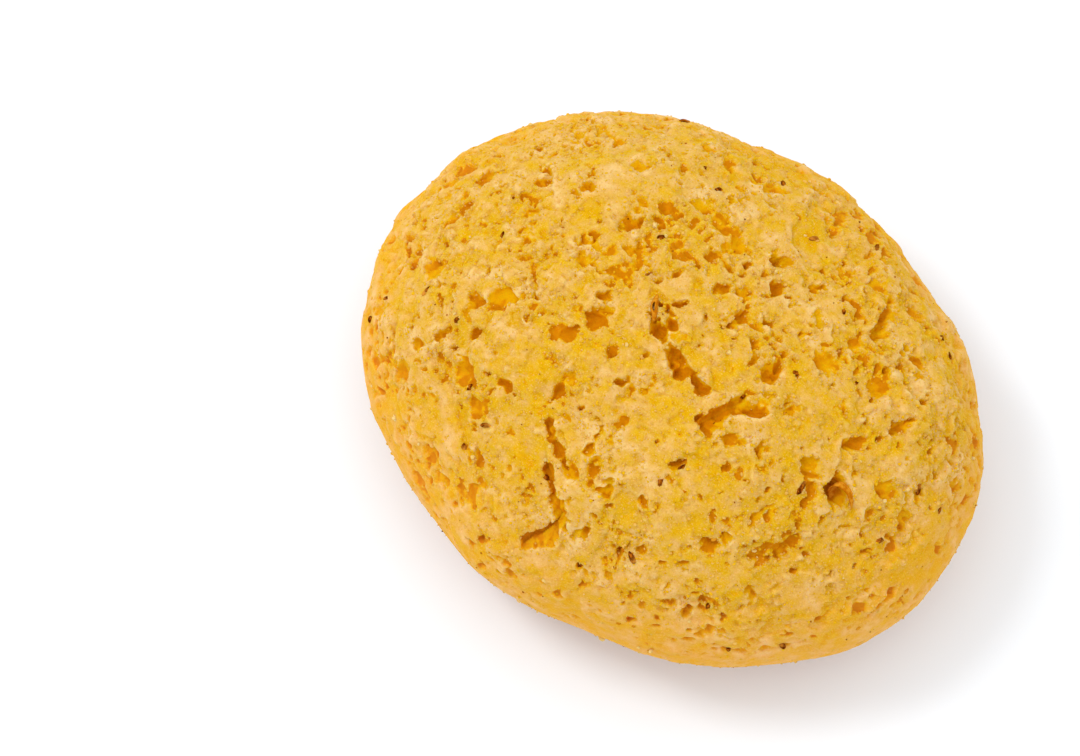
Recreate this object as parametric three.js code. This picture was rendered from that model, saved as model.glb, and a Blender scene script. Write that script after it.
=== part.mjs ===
// A cornbread bun: an oval maize roll, shaped by hand and baked on a flat tray.
// It is one solid. The crown has swells, a main split with smaller cracks round it,
// and the craters that steam left where it broke through the crust. The foot is flat.
// Millimetres, +Z up. The long axis lies along X, and the foot on Z = 0 round the origin.
import * as THREE from "three";

// Driving dimensions of the whole bun.
const LENGTH = 95;
const WIDTH = 76;
const HEIGHT = 43;
const GIRTH_HEIGHT = 17.5; // the widest level, above the tray
const BELLY_DEPTH = 23; // how far below the girth the underside would close without its foot
const FULLNESS = 2.2; // 2 is an ellipsoid, and more is squarer at the shoulders

// Facets: each edge of an icosahedron is split this many times, and more of them go to the crown.
const EDGE_SPLITS = 21;
const CROWN_CROWDING = 0.4;

// Broad swells that the dough kept from the baker's hands: a direction with the swell's
// turns for each millimetre, its place along that direction, and its height on the crown.
const SWELLS = [
  { along: [0.011, 0.015, 0.012], offset: 0.15, height: 0.5 },
  { along: [-0.021, 0.013, 0.008], offset: 0.6, height: 0.45 },
  { along: [0.027, 0.024, -0.01], offset: 0.35, height: 0.3 },
  { along: [0.018, -0.036, 0.02], offset: 0.8, height: 0.25 },
];
const GIRTH_SWELL = 0.3; // how much of a swell is left at the girth

// Cracks in the crown, seen from above: the route of each, how wide it opens and how deep it goes.
const CRACKS = [
  { route: [[-5, 3], [-1, -2], [2, -4], [7, -5]], width: 3.4, depth: 3.2 },
  { route: [[11, -9], [11, -6], [13, -3.5], [15.5, -4]], width: 3.2, depth: 2.8 },
  { route: [[-4, -26], [-1.5, -28], [-1, -31], [-3, -33]], width: 3, depth: 2.2 },
  { route: [[-9, -19.5], [-6.5, -21.5], [-3.5, -23.5]], width: 2.8, depth: 2 },
];

// Craters in the crown, seen from above: the place of each, its width and its depth.
const CRATERS = [
  { at: [6.5, 18], width: 5.6, depth: 2.2 },
  { at: [7.5, 13.5], width: 4.6, depth: 1.8 },
  { at: [17, 18.5], width: 4.8, depth: 2.2 },
  { at: [22, 18.5], width: 4.6, depth: 1.6 },
  { at: [29.5, -5.5], width: 6.2, depth: 2.4 },
  { at: [24.5, -5.5], width: 4.6, depth: 1.8 },
  { at: [13.5, 2], width: 4.6, depth: 2 },
  { at: [6, 6], width: 4.6, depth: 1.8 },
  { at: [-11, -4], width: 4.8, depth: 1.8 },
  { at: [-24, -8.5], width: 5.4, depth: 1.6 },
  { at: [-37, 7], width: 4.8, depth: 1.8 },
  { at: [30, 16.5], width: 4.4, depth: 1.8 },
];

const HALF_LENGTH = LENGTH / 2;
const HALF_WIDTH = WIDTH / 2;
const CROWN_HEIGHT = HEIGHT - GIRTH_HEIGHT;

// The height of the swells at a point on the crust, whose direction rises by the given share.
function swellAt(point, rise) {
  let height = 0;
  for (const swell of SWELLS) {
    const turns = point.dot(new THREE.Vector3(...swell.along)) + swell.offset;
    height += swell.height * Math.sin(2 * Math.PI * turns);
  }
  return height * (GIRTH_SWELL + (1 - GIRTH_SWELL) * rise);
}

// How deep a hollow of the given width and depth is, at a distance from its middle.
function hollowDepth(distance, width, depth) {
  const share = Math.min(distance / (width / 2), 1);
  return depth * (1 - share ** 2) ** 2;
}

// The distance in plan from a point to a crack's route.
function distanceToRoute(place, route) {
  let nearest = Infinity;
  for (let i = 1; i < route.length; i += 1) {
    const start = new THREE.Vector2(...route[i - 1]);
    const run = new THREE.Vector2(...route[i]).sub(start);
    const reach = place.clone().sub(start);
    const share = THREE.MathUtils.clamp(reach.dot(run) / run.lengthSq(), 0, 1);
    nearest = Math.min(nearest, reach.addScaledVector(run, -share).length());
  }
  return nearest;
}

// How far the cracks and craters sink the crown at a point. Where two meet, the deeper one counts.
function hollowAt(point) {
  const place = new THREE.Vector2(point.x, point.y);
  let depth = 0;
  for (const crack of CRACKS) {
    const distance = distanceToRoute(place, crack.route);
    depth = Math.max(depth, hollowDepth(distance, 2 * crack.width, crack.depth));
  }
  for (const crater of CRATERS) {
    const distance = place.distanceTo(new THREE.Vector2(...crater.at));
    depth = Math.max(depth, hollowDepth(distance, 1.5 * crater.width, crater.depth));
  }
  return depth;
}

// The point of the crust in a direction from the middle of the girth.
function crustPoint(direction) {
  const flat = Math.hypot(direction.x, direction.y);
  const rise = Math.abs(direction.z);
  const reach = (flat ** FULLNESS + rise ** FULLNESS) ** (-1 / FULLNESS);
  const drop = direction.z > 0 ? CROWN_HEIGHT : BELLY_DEPTH;
  const point = new THREE.Vector3(
    HALF_LENGTH * direction.x * reach,
    HALF_WIDTH * direction.y * reach,
    drop * direction.z * reach,
  );
  const outward = new THREE.Vector3(
    point.x / HALF_LENGTH ** 2,
    point.y / HALF_WIDTH ** 2,
    point.z / drop ** 2,
  ).normalize();
  const sunk = direction.z > 0 ? hollowAt(point) : 0;
  point.addScaledVector(outward, swellAt(point, rise) - sunk);
  point.z = Math.max(point.z + GIRTH_HEIGHT, 0);
  return point;
}

// The whole crust: a ball of even facets, pressed into the bun's shape and set on its foot.
function makeBun() {
  const ball = new THREE.IcosahedronGeometry(1, EDGE_SPLITS - 1);
  ball.deleteAttribute("normal");
  ball.deleteAttribute("uv");
  const positions = ball.getAttribute("position");
  const direction = new THREE.Vector3();
  for (let i = 0; i < positions.count; i += 1) {
    direction.fromBufferAttribute(positions, i);
    direction.z += CROWN_CROWDING;
    const point = crustPoint(direction.normalize());
    positions.setXYZ(i, point.x, point.y, point.z);
  }
  ball.computeBoundingBox();
  const middle = ball.boundingBox.getCenter(new THREE.Vector3());
  ball.translate(-middle.x, -middle.y, 0);
  ball.computeVertexNormals();
  return ball;
}

const crust = new THREE.MeshStandardMaterial({ color: 0xe6b04c, roughness: 0.85, metalness: 0 });
const bun = new THREE.Mesh(makeBun(), crust);
bun.name = "cornbread_bun";

const cornbread = new THREE.Group();
cornbread.add(bun);

export default cornbread;
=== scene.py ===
"""A cornbread bun: an oval maize roll with a cracked, porous crust, on a white studio floor."""
import itertools
import math

import bmesh
import bpy
import numpy as np
from mathutils import Matrix, Vector
from mathutils.bvhtree import BVHTree


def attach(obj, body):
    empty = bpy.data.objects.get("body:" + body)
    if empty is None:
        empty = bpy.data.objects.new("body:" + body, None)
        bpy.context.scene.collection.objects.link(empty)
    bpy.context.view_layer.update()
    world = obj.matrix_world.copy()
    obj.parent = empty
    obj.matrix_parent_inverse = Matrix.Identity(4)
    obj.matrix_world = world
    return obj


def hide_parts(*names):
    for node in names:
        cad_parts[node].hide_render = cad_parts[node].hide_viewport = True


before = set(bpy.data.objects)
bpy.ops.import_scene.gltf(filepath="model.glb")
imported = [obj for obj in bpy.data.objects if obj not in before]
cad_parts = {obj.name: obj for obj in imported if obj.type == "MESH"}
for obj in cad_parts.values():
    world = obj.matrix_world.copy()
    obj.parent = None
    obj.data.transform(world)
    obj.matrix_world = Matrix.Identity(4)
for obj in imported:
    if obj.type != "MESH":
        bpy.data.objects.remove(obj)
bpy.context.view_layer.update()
MM = 0.001


# ---- Camera ----
# It looks down on the crown from the front left with a long lens, so the bun's long axis
# falls from the upper left to the lower right of the view.
VIEW_AZIMUTH = math.radians(33)
VIEW_ELEVATION = math.radians(73)
VIEW_DISTANCE = 433
VIEW_RIGHT = -18.65
VIEW_UP = 0.9
VIEW_HEIGHT = 20
LENS = 100
FILM_WIDTH = 36

view_back = Vector((
    math.sin(VIEW_AZIMUTH) * math.cos(VIEW_ELEVATION),
    -math.cos(VIEW_AZIMUTH) * math.cos(VIEW_ELEVATION),
    math.sin(VIEW_ELEVATION),
))
view_right = Vector((math.cos(VIEW_AZIMUTH), math.sin(VIEW_AZIMUTH), 0))
view_up = view_back.cross(view_right)

lens = bpy.data.cameras.new("camera")
lens.lens = LENS
lens.sensor_width = FILM_WIDTH
lens.clip_start = 0.01
lens.clip_end = 20
camera = bpy.data.objects.new("camera", lens)
camera.matrix_world = Matrix.Translation(MM * (
    Vector((0, 0, VIEW_HEIGHT)) + VIEW_DISTANCE * view_back
    + VIEW_RIGHT * view_right + VIEW_UP * view_up
)) @ Matrix((view_right, view_up, view_back)).transposed().to_4x4()
bpy.context.collection.objects.link(camera)
bpy.context.scene.camera = camera


# ---- Studio ----
# A plain white floor that runs past the view, white light from all round, and one large soft
# lamp at the upper left, so the shadow falls to the lower right.
class Wire:
    """One output of a shader node. Arithmetic on it adds Math nodes to its node tree."""

    def __init__(self, tree, socket=None):
        self.tree = tree
        self.socket = socket

    def add(self, kind, settings, inputs, output=0):
        """Add a node, set it up, feed its inputs and return one of its outputs."""
        node = self.tree.nodes.new("ShaderNode" + kind)
        for name, value in settings.items():
            if name == "stops":
                ramp = node.color_ramp.elements
                while len(ramp) < len(value):
                    ramp.new(0.5)
                for stop, (place, colour) in zip(ramp, value):
                    stop.position = place
                    stop.color = (*colour, 1) if isinstance(colour, tuple) else (colour,) * 3 + (1,)
            else:
                setattr(node, name, value)
        for name, value in inputs.items():
            if isinstance(value, Wire):
                self.tree.links.new(value.socket, node.inputs[name])
            else:
                node.inputs[name].default_value = value
        return Wire(self.tree, node.outputs[output] if len(node.outputs) else None)

    def math(self, operation, *values, clamp=False):
        return self.add("Math", {"operation": operation, "use_clamp": clamp}, dict(enumerate(values)))

    def __add__(self, other):
        return self.math("ADD", self, other)

    def __radd__(self, other):
        return self.math("ADD", other, self)

    def __sub__(self, other):
        return self.math("SUBTRACT", self, other)

    def __rsub__(self, other):
        return self.math("SUBTRACT", other, self)

    def __mul__(self, other):
        return self.math("MULTIPLY", self, other)

    def __rmul__(self, other):
        return self.math("MULTIPLY", other, self)

    def between(self, low, high):
        """0 where the value is at low or less, 1 at high or more, and smooth between."""
        return self.add("MapRange", {"interpolation_type": "SMOOTHSTEP"},
                        {"Value": self, "From Min": low, "From Max": high})


def new_material(name):
    """A material with an empty node tree but for its output, and a wire to build on."""
    material = bpy.data.materials.new(name)
    material.use_nodes = True
    material.node_tree.nodes.clear()
    return material, Wire(material.node_tree)


def finish_material(wires, **sockets):
    """Close a material with a Principled shader whose sockets are given by name."""
    inputs = {name.replace("_", " "): value for name, value in sockets.items()}
    shader = wires.add("BsdfPrincipled", {}, inputs)
    wires.add("OutputMaterial", {}, {"Surface": shader})


def blend_colours(wires, share, first, second):
    """The first colour where share is 0, and the second where it is 1."""

    def rgba(colour):
        return colour if isinstance(colour, Wire) else (*colour, 1)

    return wires.add("Mix", {"data_type": "RGBA"}, {0: share, 6: rgba(first), 7: rgba(second)}, 2)


def srgb(red, green, blue):
    """A colour in the shaders' linear values, from its 0 to 255 screen values."""
    return tuple(((value / 255 + 0.055) / 1.055) ** 2.4 if value > 10 else value / 3294.6
                 for value in (red, green, blue))


def finished_mesh(name, shape):
    """A mesh made from a bmesh, which is then freed."""
    mesh = bpy.data.meshes.new(name)
    shape.to_mesh(mesh)
    shape.free()
    return mesh


def new_piece(name, mesh, material=None):
    """An object in the scene that shows a mesh, in a material where one is given."""
    if material:
        mesh.materials.append(material)
    piece = bpy.data.objects.new(name, mesh)
    bpy.context.collection.objects.link(piece)
    return piece


FLOOR_SIZE = 6.0
FLOOR_COLOUR = (0.9, 0.95, 1.0)
SKY_LOW = 0.58
SKY_RISE = 0.67
LAMP_SIZE = 0.22
LAMP_DISTANCE = 0.9
LAMP_POWER = 2.0
LAMP_LIFT = math.radians(60)

floor_material, wires = new_material("floor_paper")
speckle = wires.add("TexNoise", {}, {"Scale": 400.0})
finish_material(wires, Base_Color=(*FLOOR_COLOUR, 1), Roughness=speckle * 0.1 + 0.85)

shape = bmesh.new()
bmesh.ops.create_grid(shape, x_segments=1, y_segments=1, size=FLOOR_SIZE / 2)
floor = new_piece("floor", finished_mesh("floor", shape), floor_material)

sky = bpy.data.worlds.new("white_room")
sky.use_nodes = True
sky.node_tree.nodes.clear()
wires = Wire(sky.node_tree)
overhead = wires.add("SeparateXYZ", {}, {0: wires.add("TexCoord", {}, {}, "Generated")}, "Z")
strength = overhead.between(-0.1, 1.1) * SKY_RISE + SKY_LOW
light = wires.add("Background", {}, {"Color": (1, 1, 1, 1), "Strength": strength})
wires.add("OutputWorld", {}, {"Surface": light})
bpy.context.scene.world = sky

lamp_side = (0.4 * view_up - view_right).to_2d().normalized()
lamp_way = (math.cos(LAMP_LIFT) * lamp_side).to_3d() + Vector((0, 0, math.sin(LAMP_LIFT)))
lamp_light = bpy.data.lights.new("soft_lamp", "AREA")
lamp_light.size = LAMP_SIZE
lamp_light.energy = LAMP_POWER
lamp = bpy.data.objects.new("soft_lamp", lamp_light)
lamp_turn = lamp_way.to_track_quat("Z", "Y").to_matrix().to_4x4()
lamp.matrix_world = Matrix.Translation(LAMP_DISTANCE * lamp_way) @ lamp_turn
bpy.context.collection.objects.link(lamp)

bpy.context.scene.view_settings.view_transform = "Standard"
bpy.context.scene.view_settings.look = "None"


# ---- The bun ----
# A hand-shaped ball of maize dough that sank to an oval in the oven. Its crown split and
# broke into pores as it rose, its sides stayed smoother, and its foot browned on the tray.
LENGTH = 95
WIDTH = 76
HEIGHT = 43
GIRTH_HEIGHT = 17.5
BELLY_DEPTH = 23
FULLNESS = 2.2

# Slow waves in the bun's form: the turns to the millimetre along each axis, the start and the
# height. At the girth they are only a share as high.
SWELLS = [
    ((0.011, 0.015, 0.012), 0.15, 0.5),
    ((-0.021, 0.013, 0.008), 0.6, 0.45),
    ((0.027, 0.024, -0.01), 0.35, 0.3),
    ((0.018, -0.036, 0.02), 0.8, 0.25),
]
GIRTH_SWELL = 0.3

# The crust starts as a finely split ball, more of it in the crown, and is thinned when shaped.
SPHERE_SPLITS = 9
CROWN_CROWDING = 0.35
CRUST_TRIANGLES = 198000


def unit(vectors):
    return vectors / np.linalg.norm(vectors, axis=-1, keepdims=True)


def smooth(low, high, values):
    """0 where a value is at low or less, 1 at high or more, and smooth between."""
    share = np.clip((values - low) / (high - low), 0, 1)
    return share * share * (3 - 2 * share)


def bun_body(directions):
    """The smooth bun: its points, and the way out of the crust at each."""
    flat = np.hypot(directions[:, 0], directions[:, 1])
    rise = np.abs(directions[:, 2])
    reach = (flat ** FULLNESS + rise ** FULLNESS) ** (-1 / FULLNESS)
    drop = np.where(directions[:, 2] > 0, HEIGHT - GIRTH_HEIGHT, BELLY_DEPTH)
    half = np.stack([np.full_like(drop, LENGTH / 2), np.full_like(drop, WIDTH / 2), drop], axis=1)
    points = half * directions * reach[:, None]
    outward = unit(points / half ** 2)
    swell = sum(height * np.sin(2 * math.pi * (points @ along + offset))
                for along, offset, height in SWELLS)
    swell *= GIRTH_SWELL + (1 - GIRTH_SWELL) * rise
    return points + outward * swell[:, None], outward


def grain(points, size, seed):
    """Smooth noise from -1 to 1, whose bumps lie about one size apart."""
    lattice = np.random.default_rng(seed).uniform(-1, 1, (32, 32, 32)).astype(np.float32)
    cell = points / size
    low = np.floor(cell).astype(np.int32)
    share = (cell - low).astype(np.float32)
    share = share * share * (3 - 2 * share)
    total = np.zeros(len(points), np.float32)
    for corner in itertools.product((0, 1), repeat=3):
        weight = np.ones(len(points), np.float32)
        for axis, side in enumerate(corner):
            weight *= share[:, axis] if side else 1 - share[:, axis]
        i, j, k = ((low + corner) & 31).T
        total += weight * lattice[i, j, k]
    return total


def read_points(mesh):
    """A mesh's points, one to a row."""
    numbers = np.empty(len(mesh.vertices) * 3, np.float32)
    mesh.vertices.foreach_get("co", numbers)
    return numbers.reshape(-1, 3)


# Cracks in the crown, seen from above: the places along the route with their widths, how deep
# it goes, and how far its left bank, looking along the route, stands proud of its right one.
CRACKS = [
    ([(-5.3, 2.0, 1.2), (-4.6, 0.3, 1.5), (-3.6, -0.9, 1.6), (-1.4, -1.7, 2.0), (1.6, -3.4, 2.4),
      (3.6, -4.6, 2.4)], 2.2, 0.15),
    ([(-4.4, 2.3, 1.0), (-2.8, 3.1, 1.5), (-1.4, 4.2, 1.2)], 1.4, 0.1),
    ([(5.2, -4.6, 2.0), (6.9, -4.8, 2.2)], 1.8, 0.1),
    ([(10.2, -9.0, 3.2), (10.9, -6.6, 2.6), (12.3, -3.9, 2.4), (15.1, -3.6, 2.2)], 1.9, 0.25),
    ([(4.6, 4.2, 0.8), (6.1, 6.3, 1.2), (6.2, 8.9, 1.0)], 1.0, 0.1),
    ([(-5.4, -24.8, 1.2), (-3.4, -26.6, 2.0), (-1.6, -28.2, 2.4), (0.0, -29.6, 3.0), (-0.8, -31.6, 3.0),
      (-3.0, -33.6, 2.0)], 1.6, 0.6),
    ([(-8.6, -19.6, 1.2), (-6.9, -21.4, 1.7), (-4.6, -22.8, 1.4), (-3.2, -23.6, 1.2)], 1.5, 0.2),
    ([(30.4, 3.6, 1.0), (31.6, 6.0, 1.6), (32.9, 8.2, 1.2)], 1.0, 0.1),
    ([(22.3, 15.9, 1.4), (22.6, 19.0, 1.8), (21.8, 21.6, 1.2)], 1.2, 0.1),
    ([(27.4, -17.6, 1.2), (28.6, -14.6, 1.5)], 1.0, 0.0),
]

# Swells, dents and notches in the rim, seen from above: the place, how far each reaches and how
# high it stands.
DENTS = [
    (34.5, 22.5, 6, -0.8),
    (25, 30, 6, -1.5),
    (14, 33.9, 1.0, -0.7),
    (16.5, 33.5, 1.8, 0.5),
    (32.3, 24.8, 1.0, -0.7),
    (34, 23.6, 1.8, 0.5),
    (-7, -37, 9, 1.1),
    (-41.6, 11, 4.5, 0.9),
    (-38.0, 15.8, 2.2, -1.0),
    (-30, 24, 4.5, 0.4),
]

# Large pores in the crown, seen from above: the place, the mean width, the depth, how much
# longer than wide it is, and the way its length points, in degrees from the long axis.
LARGE_PORES = [
    (6.2, 18.2, 3.9, 1.9, 1.2, 40),
    (7.6, 13.8, 3.0, 1.3, 1.3, 80),
    (17.1, 18.6, 3.2, 1.7, 1.2, 20),
    (1.5, 9.0, 2.4, 1.1, 1.3, 60),
    (4.1, 10.2, 2.6, 1.2, 1.4, 10),
    (29.9, 16.5, 2.2, 1.2, 1.2, 0),
    (13.3, 2.0, 3.1, 1.3, 1.1, 30),
    (29.8, -5.8, 5.0, 2.2, 1.1, 35),
    (24.7, -5.5, 3.3, 1.4, 1.2, 90),
    (28.4, 1.4, 2.4, 1.4, 1.5, 60),
    (-11.0, -4.2, 3.3, 1.2, 1.2, 100),
    (-13.1, -8.2, 2.4, 1.1, 1.2, 70),
    (-23.8, -8.6, 3.4, 0.9, 1.4, 20),
    (-14.3, 10.3, 2.8, 1.6, 1.2, 10),
    (-36.8, 7.3, 2.9, 1.3, 1.2, 50),
    (-29.0, 9.7, 2.4, 1.1, 1.3, 20),
    (-36.2, 1.4, 2.6, 1.1, 1.3, 70),
    (-1.8, -19.4, 2.8, 1.4, 1.2, 100),
    (3.6, -29.4, 2.2, 1.4, 1.3, 90),
    (14.2, -34.1, 2.0, 1.1, 1.3, 10),
    (19.0, -22.1, 2.6, 1.3, 1.2, 30),
    (20.9, -19.7, 2.0, 1.1, 1.2, 60),
    (43.0, -11.8, 2.0, 1.0, 1.3, 90),
    (11.2, -27.7, 2.2, 1.2, 1.2, 40),
    (8.3, -22.1, 2.2, 1.2, 1.3, 120),
    (10.0, 4.4, 2.2, 1.2, 1.4, 15),
    (9.8, -15.5, 2.0, 1.1, 1.2, 70),
    (-28.6, -15.7, 2.4, 1.2, 1.3, 60),
    (-31.0, -18.4, 2.0, 1.0, 1.2, 20),
    (-24.4, -14.5, 2.2, 1.2, 1.2, 110),
    (-22.3, 12.0, 2.4, 1.2, 1.3, 30),
    (-11.7, -1.0, 2.0, 1.1, 1.2, 50),
    (-16.8, -18.1, 2.2, 1.1, 1.3, 10),
    (-9.8, -15.3, 2.2, 1.2, 1.2, 80),
    (-6.4, -7.0, 2.0, 1.1, 1.2, 40),
    (-1.8, 0.4, 2.6, 2.0, 1.3, 120),
]

# The foam of small pores all over the crust, in layers: how far apart the bubbles lie, their
# least and greatest radius, how many of the places hold one, the depth of their floors and how
# steeply their walls go down. The first two are soft basins, and the others are sharp holes.
FOAM = [
    (4.5, 0.9, 2.2, 0.6, 0.9, 1.2),
    (2.5, 0.45, 1.2, 0.7, 0.65, 1.6),
    (3.0, 0.35, 1.1, 0.45, 1.2, 3.2),
    (1.5, 0.28, 0.62, 0.5, 0.4, 2.2),
]

# The hollows run in sideways under their lips: toward the bun's middle, to the left, and a
# little every way.
LEAN_TO_MIDDLE = 0.5
LEAN_LEFT = 0.25
LEAN_ASTRAY = 0.6

# The lumps and creases of the crust. Tears are sizes and shifts. Crumbs, which stand in from the
# pores' edges, and steps, which part the flakes, are sizes, heights and seeds. Knobs are sizes,
# heights, the share of it on the skin and the share added where the skin is gone, and seeds.
TEARS = [(2.4, 0.8), (1.1, 0.35)]
CRUMBS = [(1.7, 0.35, 21), (0.95, 0.3, 22), (0.55, 0.27, 23)]
KNOBS = [(4.2, 0.3, 1.0, 0.0, 42), (2.1, 0.13, 0.6, 0.6, 43), (1.1, 0.06, 0.3, 0.9, 44)]
STEPS = [(8.0, 0.45, 51), (5.0, 0.35, 52), (3.0, 0.16, 53)]
SLOW_SWELL = (9, 0.55, 41)
LIP_HEIGHT = 0.06
FLAKE_DEPTH = 0.45

# How the hollows are cut: how ragged their outlines are, how steep their walls go down, how
# softly their edges round over, and how far round them the crust is worked.
CRUMBS_IN_PORES = 1.25
FLAKES_IN_PORES = 0.25
PORE_TEAR = 0.7
CRACK_TEAR = 0.5
PORE_SLOPE = 2.6
CRACK_SLOPE = 5.0
SOFT_EDGE = 0.05
BANK_REACH = 3.0
PORE_MARGIN = 3
CRACK_MARGIN = 6
FAR_OUTSIDE = -3
EVENING_ROUNDS = 30

ball = bmesh.new()
bmesh.ops.create_icosphere(ball, subdivisions=SPHERE_SPLITS, radius=1)
crust_mesh = finished_mesh("crust", ball)
sphere_points = read_points(crust_mesh).astype(np.float64)
sphere_points[:, 2] += CROWN_CROWDING
skin, outward = (rows.astype(np.float32) for rows in bun_body(unit(sphere_points)))
count = len(skin)

# The pores' outlines are ragged, not round: places are shifted a little before they are
# measured, and crumbs stand in from every edge.
tear = np.zeros_like(skin)
for axis in range(3):
    for size, shift in TEARS:
        tear[:, axis] += shift * grain(skin, size, 10 + axis + int(100 * size))
torn = skin + tear
crumbs = sum(height * grain(skin, size, seed) for size, height, seed in CRUMBS)

# The pale skin has flaked off in patches and shows the rougher, yellower crumb a little below.
flaked = 0.45 * grain(skin, 6.5, 24) + 0.4 * grain(torn, 3.2, 25) + 0.3 * grain(torn, 1.6, 26)
flaked += 0.2 * grain(skin, 0.8, 27)
bare = smooth(-0.06, 0.14, flaked)

# For every point: how far it lies inside a hollow's edge, how deep it is sunk, and how far it is
# raised beside a crack or on the rim.
inside = np.full(count, float(FAR_OUTSIDE))
sink = np.zeros(count)
bank = np.zeros(count)
crown_index = np.flatnonzero(skin[:, 2] > 0)


def crown_point(x, y):
    """The crust's point on the crown above a place in plan."""
    return crown_index[np.argmin((skin[crown_index, 0] - x) ** 2 + (skin[crown_index, 1] - y) ** 2)]


def open_crust(near, reach, floor, slope):
    """Sink the crust at the given points, which lie so far inside a hollow's edge."""
    reach = reach + CRUMBS_IN_PORES * crumbs[near] + FLAKES_IN_PORES * flaked[near]
    inside[near] = np.maximum(inside[near], reach)
    soft = SOFT_EDGE * np.logaddexp(0, reach / SOFT_EDGE)
    sink[near] = np.maximum(sink[near], floor * (1 - np.exp(-slope * soft / floor)))


def pore(x, y, width, depth, stretch, turn):
    """A pore in the crown, longer than wide and turned in the crust's plane."""
    index = crown_point(x, y)
    out = outward[index]
    along = unit(np.cross([0.0, 1.0, 0.0], out))
    across = np.cross(out, along)
    swing = math.radians(turn)
    along, across = (math.cos(swing) * along + math.sin(swing) * across,
                     math.cos(swing) * across - math.sin(swing) * along)
    root = math.sqrt(stretch)
    margin = width / 2 * root + PORE_MARGIN
    near = np.flatnonzero(np.linalg.norm(skin - skin[index], axis=1) < margin)
    offset = skin[near] + PORE_TEAR * tear[near] - skin[index]
    distance = np.hypot(offset @ along / root, offset @ across * root)
    open_crust(near, width / 2 - distance, 1.1 * depth, PORE_SLOPE)


def crack(route, depth, lip):
    """A crack along a route on the crown, its left bank raised by the lip."""
    places = [skin[crown_point(x, y)] for x, y, width in route]
    low = np.min(places, axis=0) - CRACK_MARGIN
    high = np.max(places, axis=0) + CRACK_MARGIN
    near = np.flatnonzero(np.all((skin > low) & (skin < high), axis=1))
    here = skin[near] + CRACK_TEAR * tear[near]
    reach = np.full(len(near), -9.0)
    side = np.zeros(len(near))
    for step, (start, end) in enumerate(zip(places, places[1:])):
        run = end - start
        share = np.clip((here - start) @ run / (run @ run), 0, 1)
        offset = here - start - share[:, None] * run
        half = route[step][2] / 2 + share * (route[step + 1][2] - route[step][2]) / 2
        gap = half - np.linalg.norm(offset, axis=1)
        side = np.where(gap > reach, np.sum(np.cross(outward[near], run) * offset, axis=1), side)
        reach = np.maximum(reach, gap)
    open_crust(near, reach, depth, CRACK_SLOPE)
    bank[near] += np.where(side > 0, lip * np.exp(np.minimum(reach, 0) / BANK_REACH), 0)


for x, y, reach, height in DENTS:
    distance = np.linalg.norm(skin - skin[crown_point(x, y)], axis=1)
    bank += height * np.exp(-(distance / reach) ** 2)
for split in CRACKS:
    crack(*split)
for large in LARGE_PORES:
    pore(*large)


def foam(spacing, least, greatest, share, floor, seed):
    """How far inside a bubble of one layer of foam each point is, and how deep it opens."""
    chance = np.random.default_rng(seed)
    size = (32, 32, 32)
    jitter = chance.uniform(-0.3, 0.3, (*size, 3)).astype(np.float32)
    radii = (least + (greatest - least) * chance.random(size) ** 1.6).astype(np.float32)
    radii[chance.random(size) > share] = FAR_OUTSIDE
    floors = (floor * chance.uniform(0.6, 1.6, size)).astype(np.float32)
    reach = np.full(count, FAR_OUTSIDE, np.float32)
    floor_here = np.full(count, floor, np.float32)
    low = np.floor(torn / spacing).astype(np.int32)
    for corner in itertools.product((0, 1), repeat=3):
        lattice = low + corner
        i, j, k = (lattice & 31).T
        gap = radii[i, j, k] - np.linalg.norm(torn - (lattice + jitter[i, j, k]) * spacing, axis=1)
        floor_here = np.where(gap > reach, floors[i, j, k], floor_here)
        reach = np.maximum(reach, gap)
    return reach, floor_here


level = skin[:, 2] / (HEIGHT - GIRTH_HEIGHT)
open_share = 0.15 + 0.85 * smooth(-0.3, 0.5, level)
sparse = smooth(-0.3, 0.5, grain(skin, 7.5, 58))
everywhere = np.arange(count)
for seed, (*bubbles, slope) in enumerate(FOAM):
    reach, floors = foam(*bubbles, 60 + seed)
    reach = reach - 0.4 * (1 - open_share) - 0.6 * sparse + 0.1
    open_crust(everywhere, reach, floors * open_share, slope)

# Between its pores the crust is knobbly: rounded crumbs of several sizes with creases between,
# and torn flakes whose edges stand over their neighbours on one side and sink in on the other.
knobs = np.zeros(count, np.float32)
for size, height, on_skin, on_bare, seed in KNOBS:
    knobs += height * (np.abs(grain(torn, size, seed)) * 2 - 0.6) * (on_skin + on_bare * bare)
knobs += LIP_HEIGHT * np.exp(-((inside + 0.25) / 0.35) ** 2)
knobs -= FLAKE_DEPTH * bare
for size, step, seed in STEPS:
    crispness = 0.1 + 0.5 * smooth(-0.2, 0.3, grain(skin, 1.3 * size, seed + 10))
    knobs += step * (smooth(-crispness, crispness, grain(torn, size, seed)) - 0.5)
calm = 0.2 + 0.8 * smooth(-0.1, 0.6, level)
sunk = sink * (1 + 0.25 * grain(skin, 1.3, 46))
size, height, seed = SLOW_SWELL
rise = height * grain(skin, size, seed) + knobs * calm + bank - sunk

# How far each spot lies below the crust round it, which the crust's colour uses to paint shade in its
# hollows and creases.
edge_ends = np.empty(len(crust_mesh.edges) * 2, np.int32)
crust_mesh.edges.foreach_get("vertices", edge_ends)
near_end, far_end = edge_ends.reshape(-1, 2).T
neighbours = np.bincount(near_end, minlength=count) + np.bincount(far_end, minlength=count)
around = rise.copy()
for _ in range(EVENING_ROUNDS):
    total = np.bincount(near_end, around[far_end], count)
    total += np.bincount(far_end, around[near_end], count)
    around = 0.3 * around + 0.7 * total / neighbours
cavity = around - rise

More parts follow.
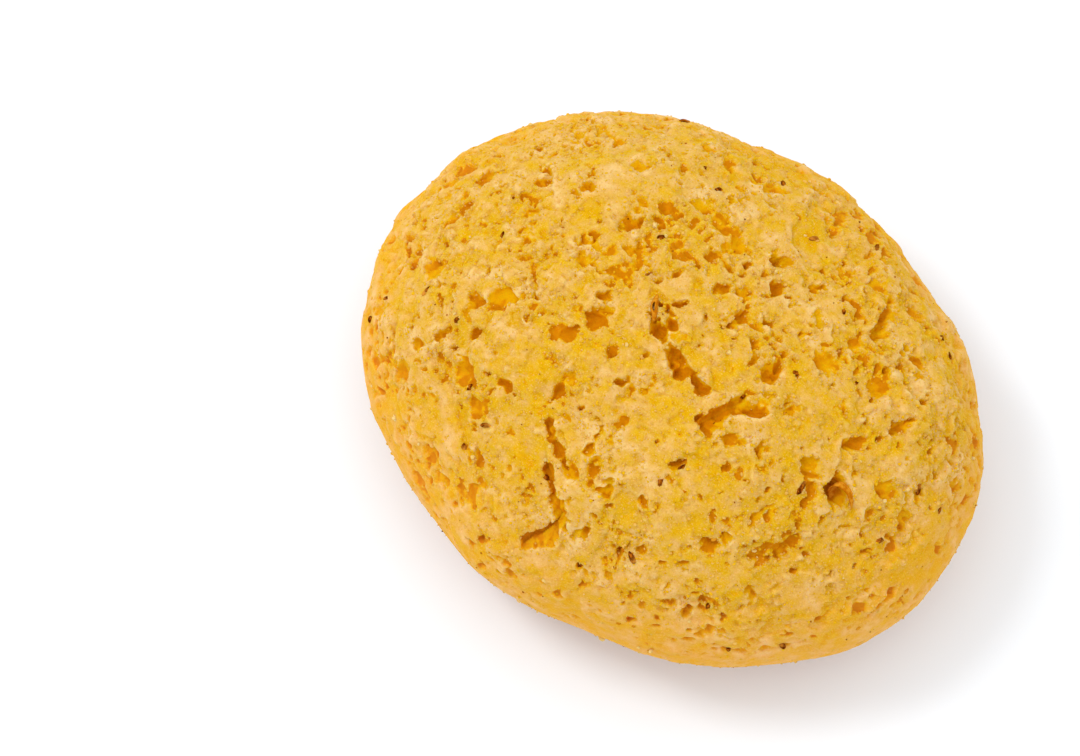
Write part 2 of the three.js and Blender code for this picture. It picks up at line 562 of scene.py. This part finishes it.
# The hollows lean in under their lips, the foot is cut flat, and the middle comes to the origin.
lean = np.stack([grain(skin, 6.0, 31 + axis) for axis in range(3)], axis=1) * LEAN_ASTRAY
lean -= LEAN_TO_MIDDLE * skin / (WIDTH / 2) + LEAN_LEFT * np.array(view_right)
lean -= outward * np.sum(lean * outward, axis=1)[:, None]
placed = skin + outward * rise[:, None] + lean * sunk[:, None]
placed[:, 2] = np.maximum(placed[:, 2] + GIRTH_HEIGHT, 0)
middle = (placed.min(axis=0) + placed.max(axis=0)) / 2
placed[:, :2] -= middle[:2]
crust_mesh.vertices.foreach_set("co", (placed * MM).astype(np.float32).ravel())
for name, values in (("hollow", sunk), ("cavity", cavity), ("inside", inside), ("flaked", flaked)):
    crust_mesh.attributes.new(name, "FLOAT", "POINT").data.foreach_set("value", values.astype(np.float32))
crust_mesh.update()

crust = new_piece("bun_crust", crust_mesh)
thin = crust.modifiers.new("thin", "DECIMATE")
thin.ratio = CRUST_TRIANGLES / len(crust_mesh.polygons)
scene_state = bpy.context.evaluated_depsgraph_get()
crust_final = bpy.data.meshes.new_from_object(crust.evaluated_get(scene_state), depsgraph=scene_state)
crust.modifiers.clear()
crust.data = crust_final
crust_final.polygons.foreach_set("use_smooth", [True] * len(crust_final.polygons))

# The crust's colours, from its pale floury skin through yellow crumb to the amber floors of its pores,
# darkened with depth as painted shade, and then those that are laid over them.
CRUMB_AND_PAINTED_SHADE = [
    (0.0, srgb(231, 192, 122)),
    (0.2, srgb(224, 178, 92)),
    (0.35, srgb(221, 173, 60)),
    (0.5, srgb(222, 173, 26)),
    (0.62, srgb(223, 171, 2)),
    (0.74, srgb(224, 166, 0)),
    (0.88, srgb(223, 157, 0)),
    (1.0, srgb(208, 130, 0)),
]
PAINTED_HIGHLIGHT = srgb(246, 210, 140)
PAINTED_SPECK_SHADE = srgb(202, 136, 14)
SIDE_BROWNING_AND_PAINTED_LIGHT = srgb(250, 154, 60)
FOOT = srgb(184, 104, 26)


def clouds(wires, spot, scale, detail):
    """Cloudy noise about a half, with so many clouds to the metre."""
    return wires.add("TexNoise", {}, {"Vector": spot, "Scale": scale, "Detail": detail})


def carried(wires, name):
    """A value that the mesh carries at each of its points."""
    return wires.add("Attribute", {"attribute_name": name}, {}, "Fac")


crust_material, wires = new_material("maize_crust")
spot = wires.add("TexCoord", {}, {}, "Object")
hollow = carried(wires, "hollow")
dip = carried(wires, "cavity")
edge = carried(wires, "inside")
above_tray = wires.add("SeparateXYZ", {}, {0: spot}, "Z")
broad = clouds(wires, spot, 130.0, 1.0)
patches = clouds(wires, spot, 400.0, 1.5)
flecks = clouds(wires, spot, 1000.0, 1.0)
crumb = clouds(wires, spot, 2200.0, 1.0)
speck_light_and_shade = clouds(wires, spot, 4500.0, 1.0)
yellow = broad - 0.5 + (patches - 0.5) * 2.4 + (flecks - 0.5) * 0.7
# Painted shade: spots sunk below the crust round them turn yellower, then darker amber and brown with
# depth, and proud spots paler; the crumb under the skin is also really yellower.
yellow = yellow + carried(wires, "flaked") * 0.45 + dip * 0.7
ragged = (crumb - 0.5) * 0.8 + (flecks - 0.5) * 0.5
# Painted highlight: the pores' lips are painted a little paler, as thin edges catching light.
lip = edge.between(-0.9, -0.35) * edge.between(0.1, -0.2)
low = hollow * 1.2 + dip * 0.6 + ragged
deep = hollow * 0.8 + dip * 0.5 + ragged
crumb_and_painted_shade = 0.35 + yellow * 0.45 - lip * 0.04 + low.between(0.05, 0.6) * 0.56 + deep.between(0.8, 2.3) * 0.26
colour = wires.add("ValToRGB", {"stops": CRUMB_AND_PAINTED_SHADE}, {"Fac": crumb_and_painted_shade})
# Painted highlight: fine pale specks on the skin, kept out of the hollows.
colour = blend_colours(wires, speck_light_and_shade.between(0.55, 0.75) * low.between(0.7, 0.2) * 0.3, colour, PAINTED_HIGHLIGHT)
# Painted shade: fine darker amber specks all over the crust, standing for tiny shadows.
colour = blend_colours(wires, speck_light_and_shade.between(0.45, 0.25) * 0.35, colour, PAINTED_SPECK_SHADE)
# The lower sides turn warmer orange: partly their real browning, partly painted light that brightens and
# warms the shaded sides as thrown-back warm light would.
colour = blend_colours(wires, above_tray.between(0.039, 0.013) * 0.4, colour, SIDE_BROWNING_AND_PAINTED_LIGHT)
colour = blend_colours(wires, (above_tray + patches * 0.008).between(0.016, 0.006), colour, FOOT)
relief = {"Strength": 1.0, "Distance": 0.00015, "Height": crumb + flecks * 1.5}
finish_material(wires, Base_Color=colour, Roughness=flecks * 0.2 + 0.6,
                Normal=wires.add("Bump", {}, relief, "Normal"),
                Subsurface_Weight=0.5, Subsurface_Radius=(0.002, 0.0013, 0.0005), Subsurface_Scale=1.0,
                Specular_IOR_Level=0.03)
crust_final.materials.clear()
crust_final.materials.append(crust_material)
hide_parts("cornbread_bun")
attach(crust, "root")


# ---- Maize grits ----
# Grains of the maize meal that stand a little out of the crust: pale ones from the floury
# heart of the kernel and yellow ones from its hard outside. Each is an angular crumb.
GRAIN_ROUGHNESS = 0.28

# Each kind: the name, the amount, the least and greatest radius, how much they crowd on the
# pores' lips, and the darkest and lightest colour.
GRITS = [
    ("pale_grits", 9600, 0.1, 0.28, 2.0, srgb(216, 168, 68), srgb(230, 185, 94)),
    ("yellow_grits", 9600, 0.1, 0.26, 1.0, srgb(216, 165, 8), srgb(232, 182, 34)),
]

crust_points = read_points(crust_final) / MM
crust_corners = np.array([face.vertices[:] for face in crust_final.polygons], np.int32)
corner_a, corner_b, corner_c = (crust_points[crust_corners[:, corner]] for corner in range(3))
face_cross = np.cross(corner_b - corner_a, corner_c - corner_a)
face_area = np.linalg.norm(face_cross, axis=1) / 2
face_normal = face_cross / np.maximum(2 * face_area, 1e-9)[:, None]
face_middle = (corner_a + corner_b + corner_c) / 3


def face_value(name):
    """The mean of one of the crust's attributes over each of its faces."""
    values = np.empty(len(crust_final.vertices), np.float32)
    crust_final.attributes[name].data.foreach_get("value", values)
    return values[crust_corners].mean(axis=1)


face_hollow = face_value("hollow")
face_inside = face_value("inside")
face_crown = smooth(0.4, 0.95, face_middle[:, 2] / GIRTH_HEIGHT - 1)
above_foot = smooth(3, 7, face_middle[:, 2])


def scatter(amount, weight, seed):
    """Places strewn over the crust's faces by weight and area, and each face's normal."""
    chance = np.random.default_rng(seed)
    share = weight * face_area
    faces = chance.choice(len(face_area), amount, p=share / share.sum())
    first, second = np.sqrt(chance.random(amount)), chance.random(amount)
    places = ((1 - first)[:, None] * corner_a[faces]
              + (first * (1 - second))[:, None] * corner_b[faces]
              + (first * second)[:, None] * corner_c[faces])
    return places, face_normal[faces]


def turned(amount, seed):
    """Random turns, as rotation matrices."""
    chance = np.random.default_rng(seed)
    first = unit(chance.normal(size=(amount, 3)))
    second = unit(np.cross(first, chance.normal(size=(amount, 3))))
    return np.stack([first, second, np.cross(first, second)], axis=2)


def grains(name, places, normals, radii, splits, proud, seed):
    """One piece of joined angular grains, standing proud by a share of their radius."""
    ball = bmesh.new()
    bmesh.ops.create_icosphere(ball, subdivisions=splits, radius=1)
    model = np.array([vertex.co for vertex in ball.verts])
    corners = np.array([[vertex.index for vertex in face.verts] for face in ball.faces])
    ball.free()
    chance = np.random.default_rng(seed)
    amount = len(places)
    shapes = model * (1 + GRAIN_ROUGHNESS * chance.uniform(-1, 1, (amount, len(model), 1)))
    shapes = shapes * chance.uniform(0.6, 1.25, (amount, 1, 3)) * radii[:, None, None]
    shapes = np.einsum("nij,nvj->nvi", turned(amount, seed + 1), shapes)
    shapes += (places + normals * (radii * proud)[:, None])[:, None]
    mesh = bpy.data.meshes.new(name)
    faces = (corners + len(model) * np.arange(amount)[:, None, None]).reshape(-1, 3)
    mesh.from_pydata((shapes.reshape(-1, 3) * MM).tolist(), [], faces.tolist())
    tone = np.repeat(chance.random(amount), len(model)).astype(np.float32)
    mesh.attributes.new("tone", "FLOAT", "POINT").data.foreach_set("value", tone)
    piece = new_piece(name, mesh)
    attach(piece, "root")
    return piece


def grain_material(name, dark, light, roughness, **sockets):
    """Grains whose colour goes from dark to light by each one's tone, a little mottled."""
    material, wires = new_material(name)
    mottle = clouds(wires, wires.add("TexCoord", {}, {}, "Object"), 3000.0, 2.0)
    colour = blend_colours(wires, carried(wires, "tone") * 0.8 + mottle * 0.2, dark, light)
    finish_material(wires, Base_Color=colour, Roughness=mottle * 0.2 + roughness, **sockets)
    return material


face_lip = np.exp(-(face_inside / 0.3) ** 2)
for index, (name, amount, least, greatest, on_lips, dark, light) in enumerate(GRITS):
    weight = (0.4 + on_lips * face_lip) * np.exp(-3 * face_hollow)
    weight = weight * above_foot * (0.06 + 0.94 * face_crown)
    places, normals = scatter(amount, weight, 70 + index)
    sizes = least + (greatest - least) * np.random.default_rng(80 + index).random(amount) ** 2
    piece = grains(name, places, normals, sizes, 1, -0.1, 90 + 2 * index)
    piece.data.materials.append(grain_material(name, dark, light, 0.6, Specular_IOR_Level=0.0))


# ---- Pale grits and painted glints ----
# Splinters and floury lumps of the kernel, lighter than the rest, their pale colour partly a painted
# highlight that stands for glints, strewn about and in one cluster low on the crown.
PALE_GLINT_GRITS = 200
CLUSTER = (23.3, -16.9)
CLUSTER_REACH = 2.0
CLUSTER_CROWDING = 60

from_cluster = np.hypot(face_middle[:, 0] - CLUSTER[0], face_middle[:, 1] - CLUSTER[1])
weight = np.exp(-2 * face_hollow) * above_foot * (face_middle[:, 2] > GIRTH_HEIGHT / 2)
weight = weight * (1 + CLUSTER_CROWDING * np.exp(-(from_cluster / CLUSTER_REACH) ** 2))
places, normals = scatter(PALE_GLINT_GRITS, weight, 75)
sizes = 0.1 + 0.35 * np.random.default_rng(85).random(PALE_GLINT_GRITS) ** 4
pale_glint_grits = grains("pale_glint_grits", places, normals, sizes, 2, 0.0, 95)
# Painted highlight: these grains are coloured paler than the crust to stand for small glints.
pale_glint_grits.data.materials.append(grain_material(
    "pale_glint_grits", srgb(228, 186, 96), srgb(236, 204, 138), 0.5, Specular_IOR_Level=0.02,
    Subsurface_Weight=0.4, Subsurface_Radius=(0.001, 0.0007, 0.0004), Subsurface_Scale=1.0))


# ---- Fennel seeds ----
# Broken fennel seeds from the dough: dry brown husks with ribs along them, bent like a
# fingernail, some whole and some snapped, lying in the crust and in its pores.
RIBS = 5
RIB_HEIGHT = 0.14
SEED_SLIMNESS = 0.85
SEED_SINK = 0.3
SNAPPED_LENGTH = 1.3
SNAPS = [0, 0.1, 0.25]
STRAY_SEEDS = 10

# Each seed, seen from above: the place, the length and width, the turn in degrees and the lift.
SEEDS = [
    (-8.0, 5.5, 1.4, 0.6, 60, 0.1),
    (-9.5, 11.5, 1.5, 0.9, 40, 0.0),
    (-7.0, 23.0, 2.2, 1.0, 60, 0.1),
    (-10.5, 25.0, 1.3, 0.7, 0, 0.1),
    (-18.0, 32.5, 1.8, 0.9, 10, 0.2),
    (-0.5, 30.0, 1.5, 0.8, 130, 0.1),
    (8.0, 25.0, 1.8, 0.9, 40, 0.1),
    (16.5, 5.0, 2.0, 0.9, 20, 0.0),
    (24.0, 9.0, 1.3, 0.7, 80, 0.1),
    (17.0, 17.0, 1.6, 0.8, 130, 0.0),
    (30.0, 24.0, 1.7, 0.9, 100, 0.1),
    (32.0, 22.5, 1.4, 0.7, 150, 0.1),
    (-31.0, 6.5, 1.6, 0.8, 30, 0.1),
    (-22.0, 5.5, 1.2, 0.6, 90, 0.1),
    (-34.0, -11.5, 2.1, 0.9, 80, 0.1),
    (-39.5, -13.5, 1.5, 0.8, 20, 0.1),
    (-27.5, -13.0, 1.4, 0.8, 60, 0.1),
    (-21.0, -20.0, 2.0, 0.8, 100, 0.1),
    (-16.0, -23.0, 2.0, 0.8, 25, 0.1),
    (-5.0, -25.0, 2.2, 1.1, 20, 0.1),
    (9.0, -18.0, 2.2, 1.0, 110, 0.0),
    (10.5, -15.0, 1.5, 0.8, 70, 0.1),
    (11.0, -28.0, 2.3, 1.0, 150, 0.1),
    (5.0, -32.0, 1.6, 0.8, 60, 0.1),
    (25.5, -8.0, 2.2, 0.9, 95, 0.0),
    (38.5, 3.0, 2.2, 0.8, 120, 0.1),
    (38.0, -6.5, 1.6, 0.9, 60, 0.1),
    (23.0, -27.0, 1.4, 0.8, 100, 0.1),
    (28.0, -29.0, 1.8, 0.9, 160, 0.1),
    (35.0, -25.0, 1.7, 0.9, 10, 0.1),
    (42.5, 2.5, 1.5, 0.8, 110, 0.1),
]

crust_tree = BVHTree.FromPolygons(crust_points.tolist(), crust_corners.tolist())


def crown_place(x, y):
    """The top of the crust over a place in plan; a place past the rim slides inward."""
    hit = None
    while hit is None:
        hit = crust_tree.ray_cast(Vector((x, y, 99)), Vector((0, 0, -1)))[0]
        x, y = 0.98 * x, 0.98 * y
    return hit


def husk(shape, length, width, bend, snapped, frame_of_seed):
    """Add one ribbed seed to a mesh, lying along its frame's first axis."""
    seed = bmesh.ops.create_uvsphere(shape, u_segments=20, v_segments=12, radius=1)["verts"]
    for vertex in seed:
        across, up, along = vertex.co
        angle = math.atan2(up, across)
        swell = (1 - RIB_HEIGHT * (0.5 + 0.5 * math.cos(RIBS * 2 * angle))) * (1 - 0.25 * along)
        vertex.co = (along * length / 2,
                     across * swell * width / 2,
                     up * swell * width / 2 + bend * (0.5 - along * along) * width)
    if snapped:
        edges = {edge for vertex in seed for edge in vertex.link_edges}
        faces = {face for vertex in seed for face in vertex.link_faces}
        cut = bmesh.ops.bisect_plane(shape, geom=seed + list(edges) + list(faces), dist=1e-5,
                                     plane_co=(length * snapped, 0, 0), plane_no=(1, 0.4, 0.3),
                                     clear_outer=True)
        rim = [piece for piece in cut["geom_cut"] if isinstance(piece, bmesh.types.BMEdge)]
        bmesh.ops.contextual_create(shape, geom=rim)
        kept = [part for part in cut["geom"] + cut["geom_cut"] if part.is_valid]
        seed = [part for part in kept if isinstance(part, bmesh.types.BMVert)]
    bmesh.ops.transform(shape, matrix=frame_of_seed, verts=list(set(seed)))


def lying(place, turn, lift):
    """A frame lying on the crust at a place, turned in its plane and lifted along its normal."""
    from_middle = np.array(place) - (0, 0, GIRTH_HEIGHT)
    half_sizes = np.array([LENGTH / 2, WIDTH / 2, HEIGHT - GIRTH_HEIGHT])
    out = Vector(from_middle / half_sizes ** 2).normalized()
    along = Vector((0, 1, 0)).cross(out).normalized()
    across = out.cross(along)
    first = math.cos(math.radians(turn)) * along + math.sin(math.radians(turn)) * across
    frame_here = Matrix((first, out.cross(first), out)).transposed().to_4x4()
    return Matrix.Translation(Vector(place) + lift * out) @ frame_here


seeds_shape = bmesh.new()
chance = np.random.default_rng(101)
for x, y, length, width, turn, lift in SEEDS:
    place = crown_place(x, y)
    snapped = chance.choice(SNAPS)
    whole_length = length * (SNAPPED_LENGTH if snapped else 1)
    husk(seeds_shape, whole_length, SEED_SLIMNESS * width, chance.uniform(0.1, 0.35), snapped,
         lying(place, turn, lift - SEED_SINK))
places, normals = scatter(STRAY_SEEDS, above_foot, 102)
for place in places:
    snapped = chance.choice(SNAPS)
    husk(seeds_shape, chance.uniform(1.0, 1.8), chance.uniform(0.5, 0.8), chance.uniform(0.1, 0.35),
         snapped, lying(place, chance.uniform(0, 180), -0.05))
bmesh.ops.scale(seeds_shape, vec=(MM, MM, MM), verts=seeds_shape.verts)
bmesh.ops.recalc_face_normals(seeds_shape, faces=seeds_shape.faces)

seed_material, wires = new_material("fennel_husk")
spot = wires.add("TexCoord", {}, {}, "Object")
mottle = clouds(wires, spot, 2500.0, 2.0)
broad = clouds(wires, spot, 500.0, 2.0)
colour = blend_colours(wires, mottle.between(0.4, 0.7), srgb(94, 38, 2), srgb(180, 100, 18))
colour = blend_colours(wires, broad.between(0.5, 0.7), colour, srgb(212, 142, 50))
relief = {"Strength": 0.6, "Distance": 0.0001, "Height": mottle}
finish_material(wires, Base_Color=colour, Roughness=mottle * 0.3 + 0.6,
                Normal=wires.add("Bump", {}, relief, "Normal"), Specular_IOR_Level=0.0)
seeds = new_piece("fennel_seeds", finished_mesh("fennel_seeds", seeds_shape), seed_material)
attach(seeds, "root")


# ---- Maize hulls ----
# Scales of the kernel's thin amber skin that the mill missed: one stands like a boat in the slit
# beside the middle crack, one curls in the deep pore, and small ones lie about.
HULL_THICKNESS = 0.1
HULL_CRUMPLE = 0.07
SMALL_HULLS = 24

# Each large hull, seen from above: the place, the length, width and depth, the turn in degrees,
# the lift, and the way and the distance from its middle at which it is cut open.
HULLS = [
    (-4.6, 1.6, 4.2, 1.1, 1.6, 118, 0.15, (0, 0.15, 1), 0.72),
    (30.8, -5.6, 4.4, 4.2, 2.8, 10, -0.9, (-0.35, -0.7, 0.6), 0.15),
]


def hull(shape, length, width, depth, cut_way, cut_at, frame_of_hull):
    """Add one thin curved scale to a mesh: a hollow oval, cut open and given its thickness."""
    ball = bmesh.new()
    bmesh.ops.create_uvsphere(ball, u_segments=20, v_segments=12, radius=1)
    bmesh.ops.scale(ball, vec=(length / 2, width / 2, depth / 2), verts=ball.verts)
    bmesh.ops.bisect_plane(ball, geom=ball.verts[:] + ball.edges[:] + ball.faces[:], dist=1e-5,
                           plane_co=Vector(cut_way) * cut_at, plane_no=cut_way, clear_outer=True)
    corners = np.array([vertex.co for vertex in ball.verts])
    crumple = np.stack([grain(corners + length, 0.35 * length, 121 + axis) for axis in range(3)], axis=1)
    for vertex, shift in zip(ball.verts, HULL_CRUMPLE * length * crumple):
        vertex.co += Vector(shift.tolist())
    bmesh.ops.solidify(ball, geom=ball.faces[:], thickness=HULL_THICKNESS)
    bmesh.ops.transform(ball, matrix=frame_of_hull, verts=ball.verts)
    scale_mesh = finished_mesh("scale", ball)
    shape.from_mesh(scale_mesh)
    bpy.data.meshes.remove(scale_mesh)


hulls_shape = bmesh.new()
for x, y, length, width, depth, turn, lift, cut_way, cut_at in HULLS:
    place = Vector(skin[crown_point(x, y)].tolist()) + Vector((0, 0, GIRTH_HEIGHT))
    hull(hulls_shape, length, width, depth, cut_way, cut_at, lying(place, turn, lift))
places, normals = scatter(SMALL_HULLS, above_foot, 105)
for place in places:
    size = chance.uniform(0.6, 1.1)
    hull(hulls_shape, size, 0.7 * size, 0.5 * size, (0, 0, -1), -0.1 * size,
         lying(place, chance.uniform(0, 180), -0.1 * size))
bmesh.ops.scale(hulls_shape, vec=(MM, MM, MM), verts=hulls_shape.verts)
bmesh.ops.recalc_face_normals(hulls_shape, faces=hulls_shape.faces)

hull_material, wires = new_material("maize_hull")
mottle = clouds(wires, wires.add("TexCoord", {}, {}, "Object"), 1500.0, 2.0)
colour = blend_colours(wires, mottle.between(0.35, 0.65), srgb(190, 106, 4), srgb(216, 146, 34))
finish_material(wires, Base_Color=colour, Roughness=mottle * 0.3 + 0.6, Specular_IOR_Level=0.0)
hulls = new_piece("maize_hulls", finished_mesh("maize_hulls", hulls_shape), hull_material)
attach(hulls, "root")


# ---- Dark specks ----
# Dust of the broken seeds and of the bran, baked dark: mere dots in the crust.
SPECKS = 200

places, normals = scatter(SPECKS, above_foot, 111)
sizes = 0.06 + 0.12 * np.random.default_rng(112).random(SPECKS) ** 2
specks = grains("dark_specks", places, normals, sizes, 1, 0.2, 113)
specks.data.materials.append(grain_material("dark_specks", srgb(96, 42, 4), srgb(184, 108, 24), 0.6,
                                           Specular_IOR_Level=0.0))
